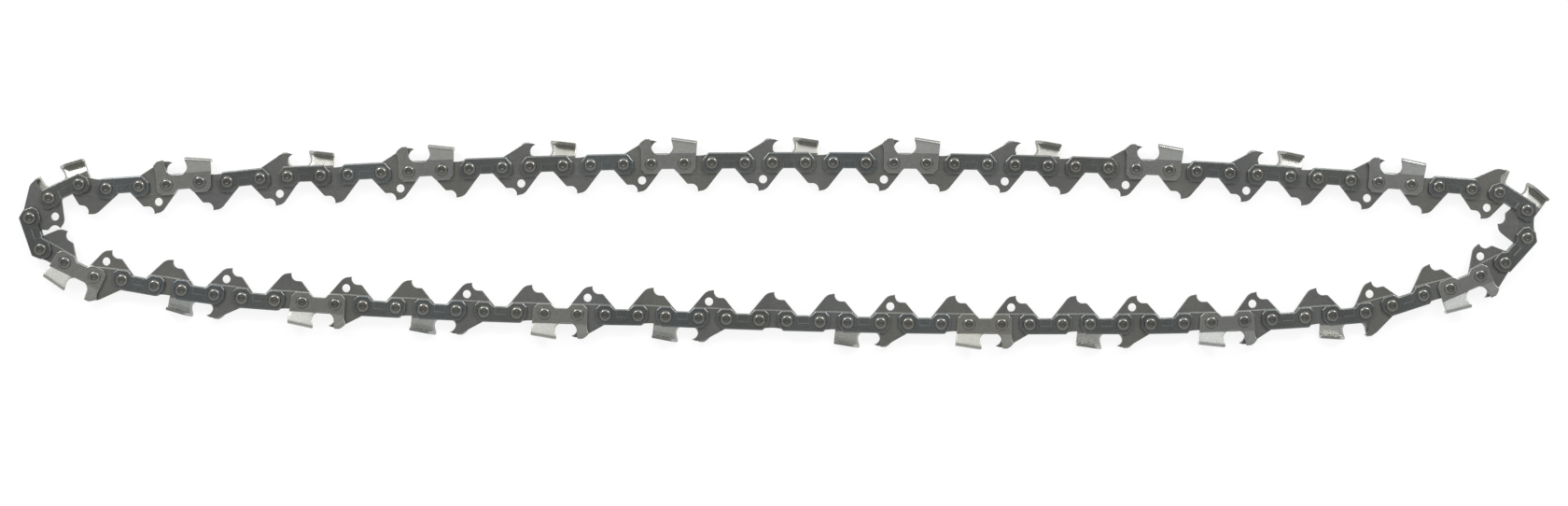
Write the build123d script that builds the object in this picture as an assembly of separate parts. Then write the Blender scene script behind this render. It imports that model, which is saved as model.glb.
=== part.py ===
from build123d import *
import math
import os

import numpy as np

# Chain: number of drive links, how many of them follow the splice, where two pairs of tie straps meet,
# and the number of the link that the left end starts with
PITCHES = 51
TAIL_PITCHES = 11
FIRST_LINK = -4

# Distances between rivet centres, across a drive link and across a side link
DRIVE_PITCH = 8.5
SIDE_PITCH = 10.1

# Lie of the loop: headings of the links in degrees, going clockwise as seen from above
LEFT_END = (173, 172, 171, 170, 174, 154, 151, 109, 46, 25, -9, 4, 3, 5, 0, 6, 4, 2, 2)
RIGHT_END = (-7, -33, -90, -132, -152, -157, -166, -162, -165)
TOP_LEFT_ARC = (3.0, 0.4)
TOP_MID_ARC = (0.3, -2.5)
TOP_RIGHT_ARC = (-3.0, -4.4)
BOTTOM_RIGHT_ARC = (-173.8, -180.0)
BOTTOM_LEFT_ARC = (-180.9, -185.0)
LEFT_RUN_LINKS = 13
RIGHT_RUN_LINKS = 9

# Fits
PIVOT_CLEARANCE = 0.05
SIDE_CLEARANCE = 0.05
SEAT_CLEARANCE = 0.02

# Rivet
SHOULDER_RADIUS = 1.75
HUB_RADIUS = 1.40
HEAD_RADIUS = 2.00
HEAD_HEIGHT = 0.85
HEAD_RIM = 0.25
HEAD_FLAT = 0.75

# Drive link
TANG_THICKNESS = 1.27
BODY_THICKNESS = 1.50
BODY_STEP = 3.15
DRIVE_TOP = 3.00
DRIVE_DIP = 0.70
DRIVE_FRONT = 3.05
DRIVE_BACK = 3.50
TANG_DEPTH = 8.70
TANG_SHOULDER = 6.35
OIL_HOLE_RADIUS = 1.25
OIL_HOLE_DROP = 5.10
OIL_HOLE_BACK = 1.30

# Bumper on each drive link that leads a cutter
BUMPER_HEIGHT = 7.20
BUMPER_CREST = 3.70
BUMPER_NOSE = 6.10
BUMPER_BACK = 4.70

# Tie strap
STRAP_THICKNESS = 1.20
STRAP_END = 3.05
STRAP_OUTER = 3.15
STRAP_INNER = 3.10
STRAP_WAIST = 1.75
STRAP_BEVEL = 1.30
STRAP_CROWN = 1.90
WAIST_RUN = 4.40
STAMP_WIDTH = 4.00
STAMP_HEIGHT = 2.50
STAMP_DEPTH = 0.15

# Cutter
FOLD_HEIGHT = 2.95
CUTTER_HEIGHT = 7.90
CUTTER_DROP = 1.15
HALF_KERF = 3.10
KERF_TAPER = 0.35
CUTTER_REAR = 4.20
TOP_PLATE_WIDTH = 4.00
TOP_PLATE_THICKNESS = 1.00
CORNER_RADIUS = 0.90
FILE_RADIUS = 2.40
FILE_HEIGHT = 5.20
FILE_ANGLE = 25.0
FILE_HOOK = 8.0
EDGE_LEAD = 1.45
GULLET_END = -0.60
GAUGE_HEIGHT = 7.50
GAUGE_LEAN = 0.50
GAUGE_NOSE = 3.75
GAUGE_BACK = 0.15

# How far a cut goes past the piece that it trims
CUT_REACH = 20.0

# Links in each middle, levels and half lengths that follow from the sizes above
mid_links = PITCHES - (len(LEFT_END) + len(RIGHT_END)) // 2 - LEFT_RUN_LINKS - RIGHT_RUN_LINKS
half_drive = DRIVE_PITCH / 2
half_side = SIDE_PITCH / 2
strap_inside = BODY_THICKNESS / 2 + SIDE_CLEARANCE
strap_outside = strap_inside + STRAP_THICKNESS
head_top = strap_outside + HEAD_HEIGHT
hub_hole = HUB_RADIUS + SEAT_CLEARANCE
pivot_hole = SHOULDER_RADIUS + PIVOT_CLEARANCE
half_width = max(HALF_KERF, head_top)


# Loop: even links are drive links, odd links are side links
def steps(first, count):
    """Pitch of each link in a row that begins with link number first."""
    return np.array([SIDE_PITCH if (first + i) % 2 else DRIVE_PITCH for i in range(count)])


def reach(angles, lengths):
    """End-to-end vector of a row of links."""
    return np.array([np.sum(lengths * np.cos(angles)), np.sum(lengths * np.sin(angles))])


def bend_to(angles, lengths, target):
    """Turns the links by the least amounts that bring the row's end-to-end vector to the target."""
    for _ in range(40):
        slope = np.array([-lengths * np.sin(angles), lengths * np.cos(angles)])
        miss = target - reach(angles, lengths)
        angles = angles + slope.T @ np.linalg.solve(slope @ slope.T, miss)
    return angles


def arc(ends, count):
    """Headings that go evenly from the first to the last value along a run."""
    return np.radians(np.linspace(ends[0], ends[1], count))


def lay_out():
    """Headings of the eight sections, clockwise from the left end.

    The two ends have equal and opposite end-to-end vectors, and so have the two middles,
    so the loop stays closed when either pair turns by one angle.
    """
    turn = {
        "left_end": np.radians(LEFT_END),
        "top_left": arc(TOP_LEFT_ARC, LEFT_RUN_LINKS),
        "top_mid": arc(TOP_MID_ARC, mid_links),
        "top_right": arc(TOP_RIGHT_ARC, RIGHT_RUN_LINKS),
        "right_end": np.radians(RIGHT_END),
        "bottom_right": arc(BOTTOM_RIGHT_ARC, RIGHT_RUN_LINKS),
        "bottom_mid": arc(TOP_MID_ARC, mid_links) + math.pi,
        "bottom_left": arc(BOTTOM_LEFT_ARC, LEFT_RUN_LINKS),
    }
    row = {}
    first = FIRST_LINK
    for name, angles in turn.items():
        row[name] = steps(first, len(angles))
        first += len(angles)
    for near, far in (("left_end", "right_end"), ("top_mid", "bottom_mid")):
        turn[far] = bend_to(turn[far], row[far], -reach(turn[near], row[near]))
    top = reach(turn["top_left"], row["top_left"]) + reach(turn["top_right"], row["top_right"])
    bottom = [np.concatenate([each["bottom_left"], each["bottom_right"]]) for each in (turn, row)]
    bottom = bend_to(bottom[0], bottom[1], -top)
    turn["bottom_left"] = bottom[:LEFT_RUN_LINKS]
    turn["bottom_right"] = bottom[LEFT_RUN_LINKS:]
    return turn


# Link shapes: x runs along the link from its leading rivet, y points out of the loop, z across the chain
def rivet_holes(half_pitch, radius):
    """Two round holes at a link's rivet centres."""
    return Pos(-half_pitch, 0) * Circle(radius) + Pos(half_pitch, 0) * Circle(radius)


def drive_link(bumper):
    """Centre plate with a hooked tang, and a bumper and an oil hole where it leads a cutter."""
    front = -half_drive - DRIVE_FRONT
    back = half_drive + DRIVE_BACK
    tip = -TANG_DEPTH
    outline = ThreePointArc((-half_drive, DRIVE_TOP), (front + 0.9, 0.7 * DRIVE_TOP), (front, 0))
    outline += Polyline((front, 0), (front, -1.8), (-3.35, -TANG_SHOULDER), (-1.75, -TANG_SHOULDER))
    outline += ThreePointArc((-1.75, -TANG_SHOULDER), (-0.65, -TANG_SHOULDER - 0.6), (-0.15, tip))
    outline += Line((-0.15, tip), (1.5, tip + 0.3))
    outline += ThreePointArc((1.5, tip + 0.3), (2.5, tip + 0.9), (3.2, tip + 1.7))
    outline += Polyline((3.2, tip + 1.7), (back, -1.3), (back, 0))
    outline += ThreePointArc((back, 0), (back - 1.0, 0.7 * DRIVE_TOP), (half_drive, DRIVE_TOP))
    outline += ThreePointArc((half_drive, DRIVE_TOP), (0, DRIVE_TOP - DRIVE_DIP), (-half_drive, DRIVE_TOP))
    plate = make_face(outline)
    if bumper:
        crest = (BUMPER_CREST, BUMPER_HEIGHT)
        nose = (BUMPER_NOSE, BUMPER_HEIGHT - 0.5)
        brow = (BUMPER_CREST - 1.8, BUMPER_HEIGHT - 0.6)
        ramp = Polyline((BUMPER_BACK, 0.5), (-half_drive, 0.5), (-half_drive, DRIVE_TOP), brow)
        ramp += ThreePointArc(brow, (BUMPER_CREST - 0.9, BUMPER_HEIGHT - 0.17), crest)
        ramp += Polyline(crest, (BUMPER_NOSE - 1.1, BUMPER_HEIGHT - 0.1), nose)
        ramp += ThreePointArc(nose, (BUMPER_BACK - 0.35, 5.0), (BUMPER_BACK, DRIVE_TOP))
        ramp += Line((BUMPER_BACK, DRIVE_TOP), (BUMPER_BACK, 0.5))
        plate = plate + make_face(ramp)
        plate = plate - Pos(OIL_HOLE_BACK, -OIL_HOLE_DROP) * Circle(OIL_HOLE_RADIUS)
    plate = plate - rivet_holes(half_drive, pivot_hole)
    above_step = Pos(0, CUT_REACH - BODY_STEP) * Rectangle(2 * CUT_REACH, 2 * CUT_REACH)
    tang = extrude(plate, TANG_THICKNESS / 2, both=True)
    body = extrude(plate & above_step, BODY_THICKNESS / 2, both=True)
    return tang + body


def tie_strap():
    """Waisted side plate with bevelled ends and a shallow stamped field in its outer face."""
    end = half_side + STRAP_END
    waist = WAIST_RUN / 2
    foot = waist + STRAP_INNER - STRAP_WAIST
    right = [
        (waist, -STRAP_WAIST),
        (foot, -STRAP_INNER),
        (end - STRAP_BEVEL, -STRAP_INNER),
        (end, STRAP_BEVEL - STRAP_INNER),
        (end, STRAP_OUTER - 1.2 * STRAP_CROWN),
        (end - STRAP_CROWN, STRAP_OUTER),
    ]
    left = [(-x, y) for x, y in reversed(right)]
    plate = make_face(Polyline(*right, *left, close=True)) - rivet_holes(half_side, hub_hole)
    strap = Pos(0, 0, strap_inside) * extrude(plate, STRAP_THICKNESS)
    stamp = Box(STAMP_WIDTH, STAMP_HEIGHT, 2 * STAMP_DEPTH)
    return strap - Pos(0, STAMP_HEIGHT / 2 - STRAP_WAIST, strap_outside) * stamp


def rivet():
    """Turned pin: shoulder in the drive link, hubs in the side links and a domed head on each side."""
    upper = Polyline((0, 0), (SHOULDER_RADIUS, 0), (SHOULDER_RADIUS, strap_inside), (HUB_RADIUS, strap_inside),
                     (HUB_RADIUS, strap_outside), (HEAD_RADIUS, strap_outside),
                     (HEAD_RADIUS, strap_outside + HEAD_RIM))
    rim = (HEAD_RADIUS, strap_outside + HEAD_RIM)
    shoulder = (0.80 * HEAD_RADIUS, strap_outside + 0.78 * HEAD_HEIGHT)
    upper += ThreePointArc(rim, shoulder, (HEAD_FLAT, head_top))
    upper += Polyline((HEAD_FLAT, head_top), (0, head_top), (0, 0))
    half = revolve(Plane.XZ * make_face(upper), Axis.Z)
    return half + mirror(half, about=Plane.XY)


def across(x):
    """Plane across the chain at a place along the link, with its x across and its y out of the loop."""
    return Plane((x, 0, 0), x_dir=(0, 0, 1), z_dir=(-1, 0, 0))


def cutter_section(height, kerf):
    """Bent sheet across the chain: foot, side plate leaning out from the fold, top plate turned inwards."""
    low = -2 * STRAP_INNER
    bend = height - CORNER_RADIUS
    inner_edge = kerf - TOP_PLATE_WIDTH
    under = height - TOP_PLATE_THICKNESS
    outline = Polyline((strap_outside, low), (strap_outside, FOLD_HEIGHT), (kerf, bend))
    outline += ThreePointArc((kerf, bend), (kerf - 0.29 * CORNER_RADIUS, height - 0.29 * CORNER_RADIUS),
                             (kerf - CORNER_RADIUS, height))
    outline += Polyline((kerf - CORNER_RADIUS, height), (inner_edge, height), (inner_edge, under),
                        (kerf - STRAP_THICKNESS, under), (strap_inside, FOLD_HEIGHT), (strap_inside, low),
                        (strap_outside, low))
    return make_face(outline)


def gauge_section():
    """Sheet of the cutter's front: foot, and a depth gauge that leans out a little from the fold."""
    low = -2 * STRAP_INNER
    top = GAUGE_HEIGHT + 1
    lean = GAUGE_LEAN * (top - FOLD_HEIGHT) / (GAUGE_HEIGHT - FOLD_HEIGHT)
    return make_face(Polyline(
        (strap_outside, low), (strap_outside, FOLD_HEIGHT), (strap_outside + lean, top), (strap_inside + lean, top),
        (strap_inside, FOLD_HEIGHT), (strap_inside, low), close=True))


def file_groove():
    """Space a round file leaves: a round bottom with a back wall that leans forward over it."""
    hook = math.radians(FILE_HOOK)
    touch = Vector(FILE_RADIUS * math.cos(hook), FILE_RADIUS * math.sin(hook))
    wall = touch + Vector(-6 * math.sin(hook), 6 * math.cos(hook))
    above = make_face(Polyline((0, 0), touch, wall, (-FILE_RADIUS, wall.Y), (-FILE_RADIUS, 0), close=True))
    groove = extrude(above + Circle(FILE_RADIUS), CUT_REACH, both=True)
    axis = EDGE_LEAD - FILE_RADIUS / math.cos(math.radians(FILE_ANGLE))
    return Pos(axis, FILE_HEIGHT, HALF_KERF) * Rot(0, -FILE_ANGLE, 0) * groove


def cutter():
    """Left cutter: front with the depth gauge, bent rear with the filed cutting edge."""
    front_end = -half_side - STRAP_END
    nose = -half_side - GAUGE_NOSE
    gauge = -half_side + GAUGE_BACK
    gullet = FILE_HEIGHT - FILE_RADIUS
    waist = WAIST_RUN / 2 - 0.4
    foot = waist + STRAP_INNER - STRAP_WAIST
    rear_foot = half_side + 3.4
    rear = half_side + CUTTER_REAR

    # Front, cut to its side view
    view = Polyline((GULLET_END, gullet), (GULLET_END, -STRAP_WAIST), (-waist, -STRAP_WAIST), (-foot, -STRAP_INNER),
                    (front_end + STRAP_BEVEL, -STRAP_INNER), (front_end, STRAP_BEVEL - STRAP_INNER), (front_end, 3.6))
    view += ThreePointArc((front_end, 3.6), (front_end - 0.15, 4.7), (nose, 5.7))
    view += ThreePointArc((nose, 5.7), (gauge - 2.85, 6.9), (gauge - 1.9, GAUGE_HEIGHT))
    view += Polyline((gauge - 1.9, GAUGE_HEIGHT), (gauge - 0.4, GAUGE_HEIGHT), (gauge, 4.6))
    view += ThreePointArc((gauge, 4.6), (gauge + 0.85, 3.3), (gauge + 2.2, gullet))
    view += Line((gauge + 2.2, gullet), (GULLET_END, gullet))
    front = extrude(across(GULLET_END) * gauge_section(), GULLET_END - nose + 1)
    front = front & extrude(make_face(view), CUT_REACH, both=True)

    # Rear, cut to its side view and hollowed by the file
    fall = CUTTER_DROP / (rear - EDGE_LEAD)
    first = cutter_section(CUTTER_HEIGHT + fall * (EDGE_LEAD - GULLET_END), HALF_KERF)
    last = cutter_section(CUTTER_HEIGHT - CUTTER_DROP - fall, HALF_KERF - KERF_TAPER)
    sheet = loft([across(GULLET_END) * first, across(rear + 1) * last], ruled=True)
    view = make_face(Polyline(
        (GULLET_END, CUT_REACH), (GULLET_END, -STRAP_WAIST), (waist, -STRAP_WAIST), (foot, -STRAP_INNER),
        (rear_foot - STRAP_BEVEL, -STRAP_INNER), (rear_foot, STRAP_BEVEL - STRAP_INNER), (rear, CUTTER_HEIGHT),
        (rear, CUT_REACH), close=True))
    sheet = sheet & extrude(view, CUT_REACH, both=True)
    solid = front + (sheet - file_groove())
    return solid - Pos(0, 0, strap_inside) * extrude(rivet_holes(half_side, hub_hole), STRAP_THICKNESS)


# One of each piece, modelled once and placed many times
plain_drive = drive_link(bumper=False)
bumper_drive = drive_link(bumper=True)
near_strap = tie_strap()
far_strap = mirror(near_strap, about=Plane.XY)
left_cutter = cutter()
right_cutter = mirror(left_cutter, about=Plane.XY)
pin = rivet()


def cutter_side(pitch):
    """Which side the cutter of a pitch is on, or an empty string where the pitch has two tie straps."""
    turn = pitch if pitch < PITCHES - TAIL_PITCHES else PITCHES - pitch
    if turn % 2:
        return ""
    return "right" if turn // 2 % 2 else "left"


def place(point, angle):
    """Location of a link from its middle point and its heading."""
    return Pos(point[0], point[1], half_width) * Rot(0, 0, math.degrees(angle))


def assemble():
    """Walks round the loop and collects the placed pieces of every node."""
    nodes = {}
    point = np.zeros(2)
    link = FIRST_LINK
    for section, angles in lay_out().items():
        for angle in angles:
            lengths = steps(link, 1)
            end = point + lengths[0] * np.array([math.cos(angle), math.sin(angle)])
            where = place((point + end) / 2, angle)
            pitch = (link // 2) % PITCHES
            side = cutter_side(pitch)
            if link % 2 == 0:
                kind, shape = ("bumper_drive_links", bumper_drive) if side else ("drive_links", plain_drive)
                nodes.setdefault(f"{kind}_{section}", []).append(where * shape)
            else:
                near = ("left_cutters", left_cutter) if side == "left" else ("tie_straps", near_strap)
                far = ("right_cutters", right_cutter) if side == "right" else ("tie_straps", far_strap)
                for kind, shape in (near, far):
                    nodes.setdefault(f"{kind}_{section}", []).append(where * shape)
                for centre in (point, end):
                    nodes.setdefault(f"rivets_{section}", []).append(place(centre, angle) * pin)
            point = end
            link += 1
    return nodes


# Stand the loop on the floor, centred on the origin, and write one file for each node
nodes = assemble()
box = Compound([piece for pieces in nodes.values() for piece in pieces]).bounding_box()
to_origin = Pos(-(box.min.X + box.max.X) / 2, -(box.min.Y + box.max.Y) / 2, -box.min.Z)
os.makedirs("parts", exist_ok=True)
for name, pieces in nodes.items():
    group = Compound([to_origin * piece for piece in pieces])
    group.label = name
    export_step(group, f"parts/{name}.step")
print(len(nodes), "nodes", sum(len(p) for p in nodes.values()), "pieces", box.size)
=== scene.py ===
"""Saw chain loop on a pale floor: rounded links, turned rivets, their steels, studio light and camera."""

import math

import bpy
import numpy as np
from bpy.props import FloatProperty, FloatVectorProperty, IntProperty, PointerProperty
from bpy.types import Operator, Panel, PropertyGroup
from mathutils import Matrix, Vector
from mathutils.geometry import tessellate_polygon


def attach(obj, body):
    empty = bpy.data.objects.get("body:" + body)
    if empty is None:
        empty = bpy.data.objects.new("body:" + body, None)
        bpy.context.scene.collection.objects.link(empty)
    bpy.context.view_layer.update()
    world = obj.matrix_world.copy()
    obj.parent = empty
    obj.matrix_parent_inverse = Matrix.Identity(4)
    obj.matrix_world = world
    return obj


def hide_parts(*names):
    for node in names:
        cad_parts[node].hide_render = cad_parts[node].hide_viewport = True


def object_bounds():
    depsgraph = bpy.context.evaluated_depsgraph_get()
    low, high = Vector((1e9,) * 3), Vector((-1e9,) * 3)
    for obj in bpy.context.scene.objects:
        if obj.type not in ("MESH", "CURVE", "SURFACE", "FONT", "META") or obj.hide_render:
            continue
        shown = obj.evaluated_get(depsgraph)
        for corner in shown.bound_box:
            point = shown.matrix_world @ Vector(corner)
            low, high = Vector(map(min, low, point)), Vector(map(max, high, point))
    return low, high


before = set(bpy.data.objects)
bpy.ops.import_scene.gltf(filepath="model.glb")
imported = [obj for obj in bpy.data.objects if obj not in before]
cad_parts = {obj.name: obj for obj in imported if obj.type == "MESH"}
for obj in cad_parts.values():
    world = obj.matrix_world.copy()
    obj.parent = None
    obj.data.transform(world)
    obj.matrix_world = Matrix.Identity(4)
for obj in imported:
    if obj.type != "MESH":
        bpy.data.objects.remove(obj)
cad_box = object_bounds()

bl_info = {
    "name": "Saw chain loop",
    "version": (1, 0, 0),
    "blender": (4, 5, 0),
    "location": "View3D > Sidebar > Chain",
    "description": "Finishes a loop of saw chain and sets it on a studio floor",
    "category": "Object",
}

SECTIONS = (
    "left_end", "top_left", "top_mid", "top_right",
    "right_end", "bottom_right", "bottom_mid", "bottom_left",
)
MM = 0.001
PHOTO_WIDTH = 1680

# Reading of the solids
RIVET_JUMP = 4.2 * MM
PIECE_REACH = 6 * MM

# Links: sizes in millimetres, steps round a hole and the limit at sharp corners
HALF_DRIVE = 4.25
HALF_SIDE = 5.05
DRIVE_HOLE = 1.80
SIDE_HOLE = 1.42
HOLE_STEPS = 16
OIL_HOLE = (1.30, -5.10, 1.25)
OIL_STEPS = 24
BODY_HALF = 0.75
TANG_HALF = 0.635
STRAP_INSIDE = 0.80
STRAP_OUTSIDE = 2.00
STRAP_THICKNESS = 1.20
LINK_END = 8.10
WAIST = -1.75
FOOT = -3.10
BEVEL = -1.80
CROWN = 3.15
BAND_GAP = 0.03
LINK_CORNER = 0.3
STRAP_CORNER = 0.35
STRAP_ROUND_WIDTH = 1.8
CUTTER_ROUND_WIDTH = 1.6
MITRE_LIMIT = 0.5
TOUCH = 0.01

# Stamped field of the straps, in millimetres
FIELD_HALF = 1.75
FIELD_TOP = 0.75
FIELD_SLOPE = 0.20
FIELD_LEVEL = 1.85

# Cutter: sizes in millimetres, rows and columns of its grids
FOLD = 2.95
CUTTER_HEIGHT = 7.90
CUTTER_DROP = 1.15
CUTTER_RUN = 7.80
EDGE_LEAD = 1.45
HALF_KERF = 3.10
KERF_START = 3.095
KERF_TAPER = 0.35
KERF_RUN = 10.85
GULLET_END = -0.60
CORNER_RADIUS = 0.9
INNER_BEND = 0.35
TOP_PLATE_WIDTH = 4.0
TOP_PLATE_THICKNESS = 1.0
REAR_FOOT = 8.45
REAR_LEAN = 0.8
GAUGE_TOP = 7.50
GAUGE_LEAN = 0.5
GAUGE_RISE = ((-2.7, 2.8), (-4.05, 3.3), (-4.9, 4.6))
GAUGE_ROWS = 12
COLUMNS = 7

# Patterns on the steel, in cycles to the metre, and their tints
DRIFT_SCALE = 55
MOTTLE_SCALE = 900
GRAIN_SCALE = 9000
GRAIN_DEPTH = 0.02 * MM
STREAK_STRETCH = (10, 120, 1)
NOISE_LOW = 0.3
NOISE_HIGH = 0.7
COOL_TINT = (0.96, 0.985, 1.0)
WARM_TINT = (1.0, 0.99, 0.95)
MOTTLE_DARK = (0.88, 0.88, 0.88)
WHITE = (1.0, 1.0, 1.0)

# Map of a link in millimetres, and what differs from link to link
MAP_SPAN = 20
UNROLL_FROM = 5.5
UNROLL_REACH = 3.0
GOLDEN_SECTION = 0.618034
PIN_TURN = 2.4
SHARP_ANGLE = math.radians(35)

# Stage: lengths in metres, sensor in millimetres, camera's shift in points of the photograph
FLOOR_SIDE = 8.0
PAPER_GREY = 0.2
PAPER_GLOW = 0.83
CEILING_SHARE = 0.40
CEILING_START = 0.6
SOFTBOX_X = 0.63
LOWER_STRIP_SHARE = 0.14
SENSOR_WIDTH = 36.0
NEAR_CLIP = 0.01
CAMERA_SHIFT = (-0.5, -10.5)


class ChainSizes(PropertyGroup):
    """Roundings of edges that the solids leave sharp, and the steps round a rivet."""

    drive_round: FloatProperty(
        name="Drive link edge", description="Rounding of the drive links' edges",
        default=0.14 * MM, min=0.02 * MM, max=0.2 * MM, unit="LENGTH", precision=5)
    strap_round: FloatProperty(
        name="Strap edge", description="Rounding that stamping and tumbling leave on the tie straps",
        default=0.24 * MM, min=0.02 * MM, max=0.26 * MM, unit="LENGTH", precision=5)
    cutter_round: FloatProperty(
        name="Cutter edge", description="Rounding of the cutters' edges",
        default=0.12 * MM, min=0.02 * MM, max=0.2 * MM, unit="LENGTH", precision=5)
    rivet_steps: IntProperty(
        name="Rivet steps", description="Faces round each rivet", default=24, min=12, max=64)


class ChainFinish(PropertyGroup):
    """Colours of the four steels."""

    drive_steel: FloatVectorProperty(
        name="Drive link", description="Satin steel of the drive links", subtype="COLOR",
        default=(0.185, 0.186, 0.178), min=0, max=1)
    strap_steel: FloatVectorProperty(
        name="Tie strap", description="Blued steel of the tie straps", subtype="COLOR",
        default=(0.178, 0.188, 0.186), min=0, max=1)
    cutter_chrome: FloatVectorProperty(
        name="Cutter", description="Satin chrome of the cutters", subtype="COLOR",
        default=(0.40, 0.40, 0.38), min=0, max=1)
    rivet_steel: FloatVectorProperty(
        name="Rivet", description="Burnished steel of the rivets", subtype="COLOR",
        default=(0.21, 0.208, 0.196), min=0, max=1)


class StudioSetup(PropertyGroup):
    """Camera height, width of the picture and light levels."""

    camera_height: FloatProperty(
        name="Camera height", description="Height of the lens above the floor",
        default=1.10, min=0.3, max=4, unit="LENGTH")
    frame_width: FloatProperty(
        name="Frame width", description="Width of the picture at the level of the drive links",
        default=0.48164, min=0.2, max=1, unit="LENGTH")
    softbox: FloatProperty(
        name="Softboxes", description="Power of each of the two softboxes beyond the upper run, in watts",
        default=3.4, min=0, max=200)
    strip: FloatProperty(
        name="Strip light", description="Power of the long light beyond the upper run, in watts",
        default=4.2, min=0, max=200)
    room: FloatProperty(
        name="Room", description="Brightness of the room at the horizon", default=0.78, min=0, max=2)


# Finishes
def start_material(name):
    """Empty node material with its shader, and the shader node."""
    material = bpy.data.materials.new(name)
    material.use_nodes = True
    return material, material.node_tree.nodes["Principled BSDF"]


def add(tree, kind, **inputs):
    """One node with the values of its inputs."""
    node = tree.nodes.new(kind)
    for key, value in inputs.items():
        node.inputs[key.replace("_", " ")].default_value = value
    return node


def noise(tree, where, scale, detail, rough=0.55):
    """Noise over the object's own coordinates, in cycles to the metre."""
    node = add(tree, "ShaderNodeTexNoise", Scale=scale, Detail=detail, Roughness=rough)
    tree.links.new(where, node.inputs["Vector"])
    return node.outputs["Fac"]


def ramp(tree, value, stops):
    """Colour ramp from pairs of place and colour."""
    node = tree.nodes.new("ShaderNodeValToRGB")
    elements = node.color_ramp.elements
    while len(elements) < len(stops):
        elements.new(0.5)
    for element, (place, colour) in zip(elements, stops):
        element.position = place
        element.color = (*colour, 1)
    tree.links.new(value, node.inputs["Fac"])
    return node.outputs["Color"]


def spread(tree, value, low, high, start=NOISE_LOW, stop=NOISE_HIGH):
    """Takes the middle of a noise to the range from low to high."""
    node = add(tree, "ShaderNodeMapRange")
    for key, number in (("From Min", start), ("From Max", stop), ("To Min", low), ("To Max", high)):
        node.inputs[key].default_value = number
    tree.links.new(value, node.inputs["Value"])
    return node.outputs["Result"]


def scaled(colour, factor):
    """A colour made lighter or darker."""
    return tuple(min(1.0, channel * factor) for channel in colour)


def times(tree, first, second):
    """Product of two colours."""
    mix = tree.nodes.new("ShaderNodeMix")
    mix.data_type = "RGBA"
    mix.blend_type = "MULTIPLY"
    mix.inputs["Factor"].default_value = 1.0
    tree.links.new(first, mix.inputs["A"])
    tree.links.new(second, mix.inputs["B"])
    return mix.outputs["Result"]


def metal(name, colour, smooth, rough, vary, grain):
    """Rolled and tumbled steel.

    Every link has a cool or warm tint of its own. The tone drifts along the loop and mottles over a
    millimetre, the shine varies in streaks along the link, and a fine grain covers the surface.
    """
    material, shader = start_material(name)
    tree = material.node_tree
    where = add(tree, "ShaderNodeTexCoord").outputs["Object"]
    link = add(tree, "ShaderNodeAttribute")
    link.attribute_name = "tone"
    tint = ramp(tree, link.outputs["Fac"], [(0.0, COOL_TINT), (1.0, WARM_TINT)])
    drift = noise(tree, where, DRIFT_SCALE, 2)
    ends = (NOISE_LOW, scaled(colour, 1 - vary)), (NOISE_HIGH, scaled(colour, 1 + vary))
    tone = ramp(tree, drift, ends)
    mottle = noise(tree, where, MOTTLE_SCALE, 4)
    speck = ramp(tree, mottle, [(NOISE_LOW, MOTTLE_DARK), (NOISE_HIGH, WHITE)])
    tree.links.new(times(tree, times(tree, tone, tint), speck), shader.inputs["Base Color"])
    shader.inputs["Metallic"].default_value = 1.0
    flat = add(tree, "ShaderNodeUVMap")
    flat.uv_map = "link"
    stretch = add(tree, "ShaderNodeMapping", Scale=STREAK_STRETCH)
    tree.links.new(flat.outputs["UV"], stretch.inputs["Vector"])
    streak = noise(tree, stretch.outputs["Vector"], 1, 3)
    tree.links.new(spread(tree, streak, smooth, rough), shader.inputs["Roughness"])
    fine = noise(tree, where, GRAIN_SCALE, 3)
    bump = add(tree, "ShaderNodeBump", Strength=grain, Distance=GRAIN_DEPTH)
    tree.links.new(fine, bump.inputs["Height"])
    tree.links.new(bump.outputs["Normal"], shader.inputs["Normal"])
    return material


# Links, read from the rivets of the solids
def points_of(name):
    """Corner points of a node's solids."""
    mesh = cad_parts[name].data
    points = np.empty(3 * len(mesh.vertices), np.float32)
    mesh.vertices.foreach_get("co", points)
    return points.reshape(-1, 3).astype(float)


def rivet_centres(section):
    """Middles of a section's rivets in order.

    From one rivet to the next, the points jump further than a head is wide.
    """
    points = points_of(f"rivets_{section}")[:, :2]
    jump = np.linalg.norm(np.diff(points, axis=0), axis=1) > RIVET_JUMP
    groups = np.split(points, np.flatnonzero(jump) + 1)
    return [0.5 * (rivet.min(0) + rivet.max(0)) for rivet in groups]


def has_piece(kind, section, centre):
    """Whether a node has a piece whose points come close to a link's middle."""
    name = f"{kind}_{section}"
    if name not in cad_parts:
        return False
    return np.linalg.norm(points_of(name)[:, :2] - centre, axis=1).min() < PIECE_REACH


def walk_chain():
    """Every link as section, kind, middle and heading; side and drive links take turns between rivets."""
    rivets = [(section, centre) for section in SECTIONS for centre in rivet_centres(section)]
    links = []
    for i, (section, first) in enumerate(rivets):
        following, last = rivets[(i + 1) % len(rivets)]
        middle, along = 0.5 * (first + last), last - first
        if i % 2:
            owner = section if section.endswith(("_end", "_mid")) else following
            kind = "bumper" if has_piece("bumper_drive_links", owner, middle) else "drive"
        else:
            owner = section
            kind = "left" if has_piece("left_cutters", owner, middle) else "strap"
            kind = "right" if has_piece("right_cutters", owner, middle) else kind
        links.append((owner, kind, middle, math.atan2(along[1], along[0])))
    return rivets, links


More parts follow.
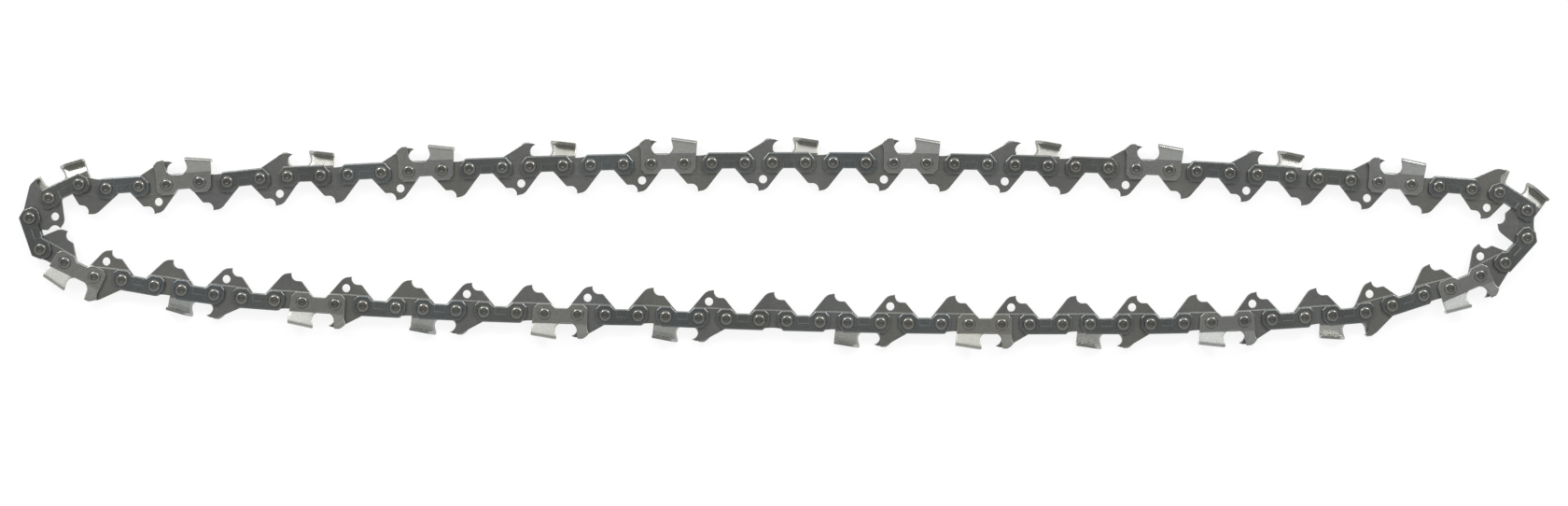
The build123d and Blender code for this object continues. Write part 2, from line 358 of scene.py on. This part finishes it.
# Outlines in millimetres from the link's middle: x to its trailing rivet, y out of the loop, z across
def arc_through(first, middle, last, count):
    """Points at even angles on the circle through three points."""
    a, b, c = (complex(*point) for point in (first, middle, last))
    w = (c - a) / (b - a)
    centre = a - (a - b) * (w - abs(w) ** 2) / (2j * w.imag)
    start = np.angle(a - centre)
    half, whole = ((np.angle(point - centre) - start) % (2 * math.pi) for point in (b, c))
    sweep = whole - 2 * math.pi if half > whole else whole
    points = centre + abs(a - centre) * np.exp(1j * (start + np.linspace(0, sweep, count)))
    return np.column_stack([points.real, points.imag])


def circle(x, y, radius, count):
    """Points round a circle, clockwise as for a hole."""
    angle = -2 * math.pi * np.arange(count) / count
    return np.column_stack([x + radius * np.cos(angle), y + radius * np.sin(angle)])


def soften(corners, reach, count=4):
    """Each corner but the first and last becomes a short curve.

    Its points are corner + reach * (towards the last corner * (1 - t)^2 + towards the next corner * t^2).
    """
    corners = np.asarray(corners, float)
    middle = corners[1:-1]
    back, ahead = corners[:-2] - middle, corners[2:] - middle
    back /= np.linalg.norm(back, axis=1)[:, None]
    ahead /= np.linalg.norm(ahead, axis=1)[:, None]
    t = np.linspace(0, 1, count)[None, :, None]
    return (middle[:, None] + reach * (back[:, None] * (1 - t) ** 2 + ahead[:, None] * t**2)).reshape(-1, 2)


def at_level(points, z):
    """Flat points lifted to a level."""
    points = np.asarray(points, float)
    return np.column_stack([points, np.full(len(points), z)])


# Sheets: an outer and an inner face with the same faces, joined by walls along their free edges
def inset(loop, margin):
    """Loop moved into the sheet.

    Each point goes along the sum of its two edges' normals over one plus their product, longer at a corner.
    """
    along = np.roll(loop, -1, axis=0) - loop
    along /= np.linalg.norm(along, axis=1)[:, None]
    normal = np.column_stack([-along[:, 1], along[:, 0]])
    before = np.roll(normal, 1, axis=0)
    spread_by = np.clip(1 + np.sum(normal * before, axis=1), MITRE_LIMIT, None)
    return loop + margin * (normal + before) / spread_by[:, None]


def fill(loops, margin):
    """Points and faces of a flat face with holes.

    A band of quads runs inside every edge, and triangles fill what lies between the bands.
    """
    inner = [inset(loop, margin) for loop in loops]
    flat = np.concatenate(loops + inner)
    count = len(flat) // 2
    bands, start = [], 0
    for loop in loops:
        i = np.arange(len(loop))
        a, b = start + i, start + (i + 1) % len(loop)
        bands.append(np.column_stack([a, b, b + count, a + count]))
        start += len(loop)
    rows = [list(map(Vector, at_level(loop, 0).tolist())) for loop in inner]
    faces = np.array(tessellate_polygon(rows)) + count
    a, b, c = (flat[faces[:, k]] for k in range(3))
    turn = (b[:, 0] - a[:, 0]) * (c[:, 1] - a[:, 1]) - (b[:, 1] - a[:, 1]) * (c[:, 0] - a[:, 0])
    faces[turn < 0] = faces[turn < 0][:, ::-1]
    return flat, [np.concatenate(bands), faces]


def grid_faces(rows, columns):
    """Quads of a grid whose points run along its rows."""
    a = (np.arange(rows - 1)[:, None] * columns + np.arange(columns - 1)).ravel()
    return np.column_stack([a, a + 1, a + columns + 1, a + columns])


def face_normals(points):
    """Unit normals of faces from their corner points: the product of two sides, or of the two diagonals."""
    normal = np.cross(points[:, 2] - points[:, 0], points[:, -1] - points[:, 1])
    if points.shape[1] == 3:
        normal = np.cross(points[:, 1] - points[:, 0], points[:, 2] - points[:, 0])
    return normal / np.linalg.norm(normal, axis=1)[:, None]


def edge_rings(points, faces, free, a, b, depth, reach, drop, steps=3):
    """Quarter rounds along the free edges of one face of a sheet.

    Ring t is p - reach * (1 - sin t) * out - drop * (1 - cos t) * down for t from 0 to 90 degrees.
    There out points away from the sheet and down points into it. At a corner, out is longer, so that the
    round keeps its size.
    """
    normals = [np.repeat(face_normals(points[face]), face.shape[1], axis=0) for face in faces]
    normal = np.concatenate(normals)[free]
    along = points[b] - points[a]
    side = np.cross(along / np.linalg.norm(along, axis=1)[:, None], normal)
    before, after, down = (np.zeros_like(points) for _ in range(3))
    before[b], after[a] = side, side
    np.add.at(down, np.concatenate([a, b]), 0.5 * depth * np.concatenate([normal, normal]))
    wider = np.clip(1 + np.sum(before * after, axis=1), MITRE_LIMIT, None)
    out = (before + after) / wider[:, None]
    turn = np.linspace(0, math.pi / 2, steps + 1)
    return [points - reach * (1 - math.sin(t)) * out - drop * (1 - math.cos(t)) * down for t in turn]


def close_sheet(patches, reach, drop):
    """Joins patches of outer points, inner points and faces into one closed shell.

    Points that meet on the outer face become one. An edge that only one face uses is free: it is rounded
    on both faces of the sheet, and a wall joins the rounds.
    """
    outer = np.concatenate([patch[0] for patch in patches])
    inner = np.concatenate([patch[1] for patch in patches])
    offsets = np.cumsum([0] + [len(patch[0]) for patch in patches])
    _, first, same = np.unique(np.round(outer, 3), axis=0, return_index=True, return_inverse=True)
    same = same.ravel()
    count = len(first)
    faces = [same[patch[2] + offset] for patch, offset in zip(patches, offsets)]
    ends = [np.column_stack([face.ravel(), np.roll(face, -1, axis=1).ravel()]) for face in faces]
    edges = np.concatenate(ends)
    free = ~np.isin(edges[:, 1] * count + edges[:, 0], edges[:, 0] * count + edges[:, 1])
    a, b = edges[free].T
    rim = np.unique(a)
    rank = np.zeros(count, int)
    rank[rim] = np.arange(len(rim))
    upper = edge_rings(outer[first], faces, free, a, b, 1, reach, drop)
    lower = edge_rings(inner[first], faces, free, a, b, -1, reach, drop)
    between = upper[1:] + lower[:0:-1]
    starts = 2 * count + len(rim) * np.arange(len(between))
    index = [np.arange(count)] + [start + rank for start in starts] + [count + np.arange(count)]
    walls = [np.column_stack([i[a], j[a], j[b], i[b]]) for i, j in zip(index, index[1:])]
    faces += [face[:, ::-1] + count for face in faces] + walls
    return np.concatenate([upper[0], lower[0]] + [ring[rim] for ring in between]), faces


def flipped(template):
    """The same shell on the far side of the chain."""
    points, faces = template
    return points * (1, 1, -1), [face[:, ::-1] for face in faces]


def drive_plate(bumper, edge):
    """Centre plate: a body and a thinner tang; where it leads a cutter, also a bumper and an oil hole."""
    half, top, tip, shoulder = HALF_DRIVE, 3.0, -8.7, -6.35
    front, front_low, heel = -7.30, -1.8, -3.35
    back, back_low, toe, toe_low = 7.75, -1.3, 3.2, tip + 1.7
    step, fall = -3.02, 0.25
    front_slope = (heel - front) / (front_low - shoulder)
    back_slope = (back - toe) / (back_low - toe_low)
    cross_left = [(front + (front_low - y) * front_slope, y) for y in (step, step - fall)]
    cross_right = [(back - (back_low - y) * back_slope, y) for y in (step - fall, step)]
    right = arc_through((back, 0), (back - 1.0, 0.7 * top), (half, top), 8)
    if bumper:
        right = right[right[:, 0] > 4.9]
        nose = arc_through((4.70, top), (4.35, 5.0), (6.10, 6.70), 9)
        brow = arc_through((3.70, 7.20), (2.80, 7.03), (1.90, 6.60), 5)
        over = np.concatenate([nose, [(5.0, 7.10)], brow])
    else:
        over = arc_through((half, top), (0, top - 0.7), (-half, top), 11)[1:-1]
    outline = np.concatenate([
        arc_through((-half, top), (front + 0.9, 0.7 * top), (front, 0), 8),
        [(front, front_low)], cross_left,
        soften([cross_left[-1], (heel, shoulder), (-1.75, shoulder)], LINK_CORNER),
        arc_through((-1.75, shoulder), (-0.65, -6.95), (-0.15, tip), 7),
        arc_through((1.5, tip + 0.3), (2.5, tip + 0.9), (toe, toe_low), 5),
        cross_right, [(back, back_low)], right, over])
    body = outline[outline[:, 1] >= step - TOUCH]
    tang = outline[outline[:, 1] <= step - fall + TOUCH]
    body_loops = [body, circle(-half, 0, DRIVE_HOLE, HOLE_STEPS), circle(half, 0, DRIVE_HOLE, HOLE_STEPS)]
    tang_loops = [tang] + ([circle(*OIL_HOLE, OIL_STEPS)] if bumper else [])
    slope = np.concatenate([cross_left, cross_right])
    rise = np.array([BODY_HALF, TANG_HALF, TANG_HALF, BODY_HALF])
    patches = []
    for loops, high in ((body_loops, BODY_HALF), (tang_loops, TANG_HALF)):
        points, blocks = fill(loops, edge + BAND_GAP)
        patches += [(at_level(points, high), at_level(points, -high), block) for block in blocks]
    upper, lower = np.column_stack([slope, rise]), np.column_stack([slope, -rise])
    patches.append((upper, lower, np.array([[0, 1, 2, 3]])))
    return close_sheet(patches, edge, edge)


def side_loops(outline):
    """Outline of a side link with its two rivet holes."""
    holes = [circle(x, 0, SIDE_HOLE, HOLE_STEPS) for x in (-HALF_SIDE, HALF_SIDE)]
    return [outline] + holes


def field_corners(half, top):
    """Corners of the stamped field, which is open at the waist."""
    return np.array([(-half, WAIST), (-half, top), (half, top), (half, WAIST)])


def strap_plate(edge):
    """Waisted side plate with cut corners and a shallow stamped field that opens at the waist."""
    reach = STRAP_ROUND_WIDTH * edge
    waist = (2.2, WAIST)
    corners = [waist, (3.55, FOOT), (6.80, FOOT), (LINK_END, BEVEL),
               (LINK_END, 0.87), (6.20, CROWN), (0, CROWN)]
    right = np.concatenate([[waist], soften(corners, STRAP_CORNER)])
    field = field_corners(FIELD_HALF, FIELD_TOP)
    floor = field_corners(FIELD_HALF - FIELD_SLOPE, FIELD_TOP - FIELD_SLOPE)
    outline = np.concatenate([right, right[::-1] * (-1, 1), field])
    top, blocks = fill(side_loops(outline), reach + BAND_GAP)
    rim = np.concatenate([field, floor])
    high = np.repeat([STRAP_OUTSIDE, FIELD_LEVEL], 4)
    slopes = np.array([[0, 4, 5, 1], [1, 5, 6, 2], [2, 6, 7, 3]])
    patches = [(at_level(top, STRAP_OUTSIDE), at_level(top, STRAP_INSIDE), block) for block in blocks]
    patches.append((np.column_stack([rim, high]), at_level(rim, STRAP_INSIDE), slopes))
    bottom = np.array([[0, 3, 2, 1]])
    patches.append((at_level(floor, FIELD_LEVEL), at_level(floor, STRAP_INSIDE), bottom))
    return close_sheet(patches, reach, edge)


def file_front(y, z):
    """Where the filed hollow ends along the link: a circle below, a wall that leans forward above it."""
    radius, height = 2.40, 5.20
    angle, hook = math.radians(25), math.radians(8)
    p = y - height
    round_wall = np.sqrt(np.clip(radius**2 - p**2, 0, None))
    lean_wall = radius * math.cos(hook) - (p - radius * math.sin(hook)) * math.tan(hook)
    q = np.where(p > radius * math.sin(hook), lean_wall, round_wall)
    axis = EDGE_LEAD - radius / math.cos(angle)
    return axis + (q - (z - HALF_KERF) * math.sin(angle)) / math.cos(angle)


SIDE_ROWS = np.array([0, 0.05, 0.13, 0.21, 0.30, 0.42, 0.58, 0.78])
BEND_ROWS = 7
TOOTH_ROWS = len(SIDE_ROWS) + BEND_ROWS + 2


def tooth_section(x, inner):
    """Rows of the bent sheet across the chain at places along it, from the fold to the inner edge.

    The side plate is a straight line from the fold to the bend, the bend a quarter circle outside and a
    short curve inside, and the top plate a straight line to the inner edge.
    """
    height = CUTTER_HEIGHT - CUTTER_DROP / CUTTER_RUN * (x - EDGE_LEAD)
    kerf = KERF_START - KERF_TAPER / KERF_RUN * (x - GULLET_END)
    t = np.linspace(0, 1, BEND_ROWS)[:, None]
    if inner:
        low, top, wall = STRAP_INSIDE, height - TOP_PLATE_THICKNESS, kerf - STRAP_THICKNESS
        lean = (wall - low) / (top - FOLD)
        bend_y = top - INNER_BEND * (1 - t) ** 2
        bend_z = wall - INNER_BEND * t**2 - lean * INNER_BEND * (1 - t) ** 2
    else:
        low, top = STRAP_OUTSIDE, height
        bend_y = height - CORNER_RADIUS + CORNER_RADIUS * np.sin(t * math.pi / 2)
        bend_z = kerf - CORNER_RADIUS + CORNER_RADIUS * np.cos(t * math.pi / 2)
    side_y = FOLD + (bend_y[0] - FOLD) * SIDE_ROWS[:, None]
    side_z = low + (bend_z[0] - low) * SIDE_ROWS[:, None]
    edge = kerf - TOP_PLATE_WIDTH
    y = np.concatenate([side_y, bend_y, [top, top]])
    z = np.concatenate([side_z, bend_z, [0.5 * (bend_z[-1] + edge), edge]])
    return y, z


def tooth_grid(inner):
    """Bent rear of the cutter: each row of the section runs from the filed front to the rear edge.

    Both ends depend on the section there, so they are found by putting the last places in again.
    """
    pick = np.arange(TOOTH_ROWS)
    first_front, first_rear, passes = 1.5, 9.0, 8
    front, rear = np.full(TOOTH_ROWS, first_front), np.full(TOOTH_ROWS, first_rear)
    for _ in range(passes):
        y, z = tooth_section(front, inner)
        front = file_front(y[pick, pick], z[pick, pick])
        y, _ = tooth_section(rear, inner)
        rear = REAR_FOOT + REAR_LEAN * (y[pick, pick] - BEVEL) / (CUTTER_HEIGHT - BEVEL)
    x = front[:, None] + (rear - front)[:, None] * np.linspace(0, 1, COLUMNS)
    y, z = tooth_section(x.ravel(), inner)
    rows = np.repeat(pick, COLUMNS)
    place = np.arange(x.size)
    return np.column_stack([x.ravel(), y[rows, place], z[rows, place]])


def gauge_grid(low):
    """Depth gauge: rows between its front and back curves, leaning out from the fold."""
    y = np.linspace(FOLD, GAUGE_TOP, GAUGE_ROWS)
    nose = (-8.8, 5.7)
    front = np.concatenate([[(-LINK_END, 2.8)], arc_through((-LINK_END, 3.6), (-8.25, 4.7), nose, 7),
                            arc_through(nose, (-7.75, 6.9), (-6.8, GAUGE_TOP), 7)[1:]])
    back = np.concatenate([arc_through(*GAUGE_RISE, 13), [(-5.3, GAUGE_TOP)]])
    x_front, x_back = (np.interp(y, curve[:, 1], curve[:, 0]) for curve in (front, back))
    x = x_front[:, None] + (x_back - x_front)[:, None] * np.linspace(0, 1, COLUMNS)
    z = low + GAUGE_LEAN * (y - FOLD) / (GAUGE_TOP - FOLD)
    return np.column_stack([x.ravel(), np.repeat(y, COLUMNS), np.repeat(z, COLUMNS)])


def tooth(edge):
    """Cutter: a flat foot up to the fold, the bent rear with its filed edge, and the depth gauge."""
    reach = CUTTER_ROUND_WIDTH * edge
    dip = np.array([2.90, 2.85, 2.815, 2.80])
    rise = arc_through(*GAUGE_RISE, 25)
    rise = rise[rise[:, 1] < FOLD - TOUCH]
    corners = [(-LINK_END, FOLD), (-LINK_END, BEVEL), (-6.8, FOOT), (-3.15, FOOT), (-1.8, WAIST),
               (1.8, WAIST), (3.15, FOOT), (7.15, FOOT), (REAR_FOOT, BEVEL), (8.84, FOLD)]
    bottom = soften(corners, LINK_CORNER)
    sides = []
    for inner, depth in ((False, STRAP_OUTSIDE), (True, STRAP_INSIDE)):
        rear, gauge = tooth_grid(inner), gauge_grid(depth)
        gullet = np.column_stack([file_front(dip, depth), dip])
        rear_fold, gauge_fold = rear[COLUMNS - 1::-1, :2], gauge[COLUMNS - 1::-1, :2]
        outline = np.concatenate([rear_fold, gullet, rise, gauge_fold, bottom])
        foot, blocks = fill(side_loops(outline), reach + BAND_GAP)
        sides.append((at_level(foot, depth), rear, gauge, blocks))
    (foot, rear, gauge, blocks), (foot_in, rear_in, gauge_in, _) = sides
    patches = [(foot, foot_in, block) for block in blocks]
    patches.append((rear, rear_in, grid_faces(TOOTH_ROWS, COLUMNS)))
    patches.append((gauge, gauge_in, grid_faces(GAUGE_ROWS, COLUMNS)))
    return close_sheet(patches, reach, edge)


def turned_pin(steps):
    """Rivet turned from a profile of radius and height: dished head, domed shoulder, rim, hub, shoulder."""
    hub, shoulder, dish = 1.40, 1.75, 2.77
    dome = arc_through((0.75, 2.85), (1.60, 2.663), (1.97, 2.28), 7)
    rim = [(2.0, 2.16), (2.0, 2.06), (1.95, STRAP_OUTSIDE)]
    head = np.concatenate([[(0.30, 2.78), (0.55, 2.81)], dome, rim])
    pin = [(hub, STRAP_OUTSIDE), (hub, STRAP_INSIDE), (shoulder, STRAP_INSIDE)]
    half = np.concatenate([head, pin])
    profile = np.concatenate([half, half[::-1] * (1, -1)])
    angle = 2 * math.pi * np.arange(steps) / steps
    r, z = profile[:, :1], np.repeat(profile[:, 1], steps)
    rings = np.column_stack([(r * np.cos(angle)).ravel(), (r * np.sin(angle)).ravel(), z])
    points = np.concatenate([rings, [(0, 0, dish), (0, 0, -dish)]])
    k, i = np.meshgrid(np.arange(len(profile) - 1), np.arange(steps), indexing="ij")
    a, b = (k * steps + i).ravel(), (k * steps + (i + 1) % steps).ravel()
    sides = np.column_stack([a, a + steps, b + steps, b])
    i = np.arange(steps)
    j = (i + 1) % steps
    last = (len(profile) - 1) * steps
    top = np.column_stack([i, j, np.full(steps, len(points) - 2)])
    low = np.column_stack([last + j, last + i, np.full(steps, len(points) - 1)])
    return points, [sides, top, low]


# Pieces
def set_out(name, copies, section, nodes, material):
    """One mesh of many links: each template is turned to its heading and moved to its middle.

    The map of each face is the template's own x and y, with the top plate unrolled. The tone of a link is
    its number times the golden section, without the whole part.
    """
    points, faces, maps, tones = [], [], [], []
    count = 0
    for (shape, shape_faces), middle, heading, number in copies:
        c, s = math.cos(heading), math.sin(heading)
        turned = shape @ np.array([[c, s, 0], [-s, c, 0], [0, 0, 1]]) * MM
        points.append(turned + (middle[0], middle[1], middle_level))
        for block in shape_faces:
            faces.extend((block + count).tolist())
        over = np.clip(np.abs(shape[:, 2]) - STRAP_OUTSIDE, -UNROLL_REACH, 0) * (shape[:, 1] > UNROLL_FROM)
        maps.append(np.column_stack([shape[:, 0], shape[:, 1] - over]) / MAP_SPAN + 0.5)
        tones.append(np.full(len(shape), number * GOLDEN_SECTION % 1))
        count += len(shape)
    mesh = bpy.data.meshes.new(name)
    mesh.from_pydata(np.concatenate(points).tolist(), [], faces)
    corner = np.empty(len(mesh.loops), np.int32)
    mesh.loops.foreach_get("vertex_index", corner)
    flat = np.concatenate(maps)[corner].astype(np.float32)
    mesh.uv_layers.new(name="link").data.foreach_set("uv", flat.ravel())
    tone = mesh.attributes.new("tone", "FLOAT", "POINT")
    tone.data.foreach_set("value", np.concatenate(tones).astype(np.float32))
    mesh.polygons.foreach_set("use_smooth", np.ones(len(mesh.polygons), bool))
    mesh.materials.append(material)
    piece = bpy.data.objects.new(name, mesh)
    bpy.context.scene.collection.objects.link(piece)
    mesh.set_sharp_from_angle(angle=SHARP_ANGLE)
    piece.modifiers.new("Shading", "WEIGHTED_NORMAL").keep_sharp = True
    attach(piece, section)
    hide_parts(*nodes)


def set_out_kind(label, templates, node_kind, material):
    """Lays one kind of piece out, section by section."""
    for section in SECTIONS:
        copies = [
            (shape, middle, heading, number)
            for number, (owner, kind, middle, heading) in enumerate(links) if owner == section
            for shape in templates.get(kind, ())
        ]
        if copies:
            set_out(f"{label}_{section}", copies, section, [f"{node_kind}_{section}"], material)


rivets, links = walk_chain()
middle_level = 0.5 * (cad_box[0][2] + cad_box[1][2])


class CHAIN_OT_drive_links(Operator):
    """Builds the plain and bumper drive links."""

    bl_idname = "chain.drive_links"
    bl_label = "Drive links"

    def execute(self, context):
        scene = context.scene
        colour = scene.chain_finish.drive_steel
        steel = metal("drive_link_steel", colour, smooth=0.36, rough=0.52, vary=0.10, grain=0.12)
        edge = scene.chain_sizes.drive_round / MM
        plain, bumper = {"drive": [drive_plate(False, edge)]}, {"bumper": [drive_plate(True, edge)]}
        set_out_kind("drive_plates", plain, "drive_links", steel)
        set_out_kind("bumper_plates", bumper, "bumper_drive_links", steel)
        return {"FINISHED"}


class CHAIN_OT_tie_straps(Operator):
    """Builds the tie straps of both sides."""

    bl_idname = "chain.tie_straps"
    bl_label = "Tie straps"

    def execute(self, context):
        scene = context.scene
        colour = scene.chain_finish.strap_steel
        steel = metal("tie_strap_steel", colour, smooth=0.24, rough=0.38, vary=0.12, grain=0.08)
        near = strap_plate(scene.chain_sizes.strap_round / MM)
        far = flipped(near)
        sides = {"strap": [near, far], "left": [far], "right": [near]}
        set_out_kind("strap_plates", sides, "tie_straps", steel)
        return {"FINISHED"}


class CHAIN_OT_cutters(Operator):
    """Builds the left and right cutters."""

    bl_idname = "chain.cutters"
    bl_label = "Cutters"

    def execute(self, context):
        scene = context.scene
        colour = scene.chain_finish.cutter_chrome
        chrome = metal("cutter_chrome", colour, smooth=0.22, rough=0.30, vary=0.06, grain=0.05)
        near = tooth(scene.chain_sizes.cutter_round / MM)
        set_out_kind("left_teeth", {"left": [near]}, "left_cutters", chrome)
        set_out_kind("right_teeth", {"right": [flipped(near)]}, "right_cutters", chrome)
        return {"FINISHED"}


class CHAIN_OT_rivets(Operator):
    """Turns the rivets and sets them in their holes."""

    bl_idname = "chain.rivets"
    bl_label = "Rivets"

    def execute(self, context):
        scene = context.scene
        colour = scene.chain_finish.rivet_steel
        steel = metal("rivet_steel", colour, smooth=0.15, rough=0.22, vary=0.10, grain=0.04)
        pin = turned_pin(scene.chain_sizes.rivet_steps)
        for section in SECTIONS:
            copies = [(pin, centre, PIN_TURN * number, number)
                      for number, (owner, centre) in enumerate(rivets) if owner == section]
            nodes = [f"rivets_{section}"]
            set_out(f"turned_rivets_{section}", copies, section, nodes, steel)
        return {"FINISHED"}


# Stage
def calculate(tree, operation, first, second):
    """Result of one step of arithmetic on two values of nodes."""
    node = tree.nodes.new("ShaderNodeMath")
    node.operation = operation
    tree.links.new(first, node.inputs[0])
    tree.links.new(second, node.inputs[1])
    return node.outputs[0]


def seen_white(tree, strength):
    """Strength of a glow that only camera, glossy and transmission rays see."""
    rays = tree.nodes.new("ShaderNodeLightPath").outputs
    seen = calculate(tree, "MAXIMUM", rays["Is Camera Ray"], rays["Is Glossy Ray"])
    seen = calculate(tree, "MAXIMUM", seen, rays["Is Transmission Ray"])
    full = tree.nodes.new("ShaderNodeValue").outputs[0]
    full.default_value = strength
    return calculate(tree, "MULTIPLY", seen, full)


def floor_material():
    """Pale paper: part of its white is seen directly, the rest is lit and takes the shadow."""
    material = bpy.data.materials.new("pale_paper")
    material.use_nodes = True
    tree = material.node_tree
    tree.nodes.clear()
    paper = add(tree, "ShaderNodeBsdfDiffuse", Color=(PAPER_GREY, PAPER_GREY, PAPER_GREY, 1))
    glow = add(tree, "ShaderNodeEmission", Color=(*WHITE, 1))
    tree.links.new(seen_white(tree, PAPER_GLOW), glow.inputs["Strength"])
    total = tree.nodes.new("ShaderNodeAddShader")
    tree.links.new(paper.outputs[0], total.inputs[0])
    tree.links.new(glow.outputs[0], total.inputs[1])
    output = tree.nodes.new("ShaderNodeOutputMaterial")
    tree.links.new(total.outputs[0], output.inputs["Surface"])
    return material


def lay_floor():
    """Square sheet under the chain, as a grid of two by two points."""
    ends = (-FLOOR_SIDE / 2, FLOOR_SIDE / 2)
    x, y = np.meshgrid(ends, ends)
    points = np.column_stack([x.ravel(), y.ravel(), np.zeros(4)])
    mesh = bpy.data.meshes.new("floor")
    mesh.from_pydata(points.tolist(), [], [(0, 1, 3, 2)])
    mesh.materials.append(floor_material())
    floor = bpy.data.objects.new("floor", mesh)
    bpy.context.scene.collection.objects.link(floor)


def light_room(level):
    """Room with pale walls and a darker ceiling: full up to 37 degrees above the horizon, then less."""
    world = bpy.data.worlds.new("room")
    bpy.context.scene.world = world
    world.use_nodes = True
    tree = world.node_tree
    back = tree.nodes["Background"]
    where = add(tree, "ShaderNodeTexCoord").outputs["Generated"]
    split = tree.nodes.new("ShaderNodeSeparateXYZ")
    tree.links.new(where, split.inputs[0])
    shade = spread(tree, split.outputs["Z"], level, CEILING_SHARE * level, CEILING_START, 1.0)
    tree.links.new(shade, back.inputs["Strength"])
    back.inputs["Color"].default_value = (*WHITE, 1)


def hang_softbox(name, place, size, power):
    """Rectangular softbox that faces the chain."""
    lamp = bpy.data.lights.new(name, "AREA")
    lamp.shape = "RECTANGLE"
    lamp.size, lamp.size_y = size
    lamp.energy = power
    box = bpy.data.objects.new(name, lamp)
    box.location = place
    box.rotation_euler = (-Vector(place)).to_track_quat("-Z", "Y").to_euler()
    bpy.context.scene.collection.objects.link(box)


def set_camera(height, width):
    """Camera that looks straight down, a little to the left of the chain's middle and below it."""
    lens = bpy.data.cameras.new("camera")
    lens.sensor_fit = "HORIZONTAL"
    lens.sensor_width = SENSOR_WIDTH
    lens.lens = lens.sensor_width * (height - middle_level) / width
    lens.clip_start = NEAR_CLIP
    camera = bpy.data.objects.new("camera", lens)
    point = width / PHOTO_WIDTH
    camera.location = (CAMERA_SHIFT[0] * point, CAMERA_SHIFT[1] * point, height)
    bpy.context.scene.collection.objects.link(camera)
    bpy.context.scene.camera = camera


class CHAIN_OT_studio(Operator):
    """Sets up the floor, the light and the camera."""

    bl_idname = "chain.studio"
    bl_label = "Studio"

    def execute(self, context):
        setup = context.scene.chain_studio
        lay_floor()
        light_room(setup.room)
        for name, x in (("softbox_left", -SOFTBOX_X), ("softbox_right", SOFTBOX_X)):
            hang_softbox(name, place=(x, 0.75, 1.0), size=(0.28, 0.24), power=setup.softbox)
        lower = LOWER_STRIP_SHARE * setup.strip
        hang_softbox("strip_above", place=(0, 0.62, 0.85), size=(1.6, 0.75), power=setup.strip)
        hang_softbox("strip_below", place=(0, -0.47, 0.95), size=(1.3, 0.40), power=lower)
        set_camera(setup.camera_height, setup.frame_width)
        context.scene.view_settings.view_transform = "Standard"
        return {"FINISHED"}


class CHAIN_PT_panel(Panel):
    """Lists the sizes, the finishes and the steps."""

    bl_idname = "CHAIN_PT_panel"
    bl_label = "Saw chain"
    bl_space_type = "VIEW_3D"
    bl_region_type = "UI"
    bl_category = "Chain"

    def draw(self, context):
        scene = context.scene
        for group in (scene.chain_sizes, scene.chain_finish, scene.chain_studio):
            for key in group.__annotations__:
                self.layout.prop(group, key)
        for step in STEPS:
            self.layout.operator(step.bl_idname)


STEPS = (CHAIN_OT_drive_links, CHAIN_OT_tie_straps, CHAIN_OT_cutters, CHAIN_OT_rivets, CHAIN_OT_studio)
GROUPS = {"chain_sizes": ChainSizes, "chain_finish": ChainFinish, "chain_studio": StudioSetup}


def register():
    for group in GROUPS.values():
        bpy.utils.register_class(group)
    for name, group in GROUPS.items():
        setattr(bpy.types.Scene, name, PointerProperty(type=group))
    for step in (*STEPS, CHAIN_PT_panel):
        bpy.utils.register_class(step)


def unregister():
    for step in reversed((*STEPS, CHAIN_PT_panel)):
        bpy.utils.unregister_class(step)
    for name, group in GROUPS.items():
        delattr(bpy.types.Scene, name)
        bpy.utils.unregister_class(group)


def main():
    """Runs the steps in order."""
    register()
    bpy.ops.chain.drive_links()
    bpy.ops.chain.tie_straps()
    bpy.ops.chain.cutters()
    bpy.ops.chain.rivets()
    bpy.ops.chain.studio()


if __name__ == "__main__":
    main()
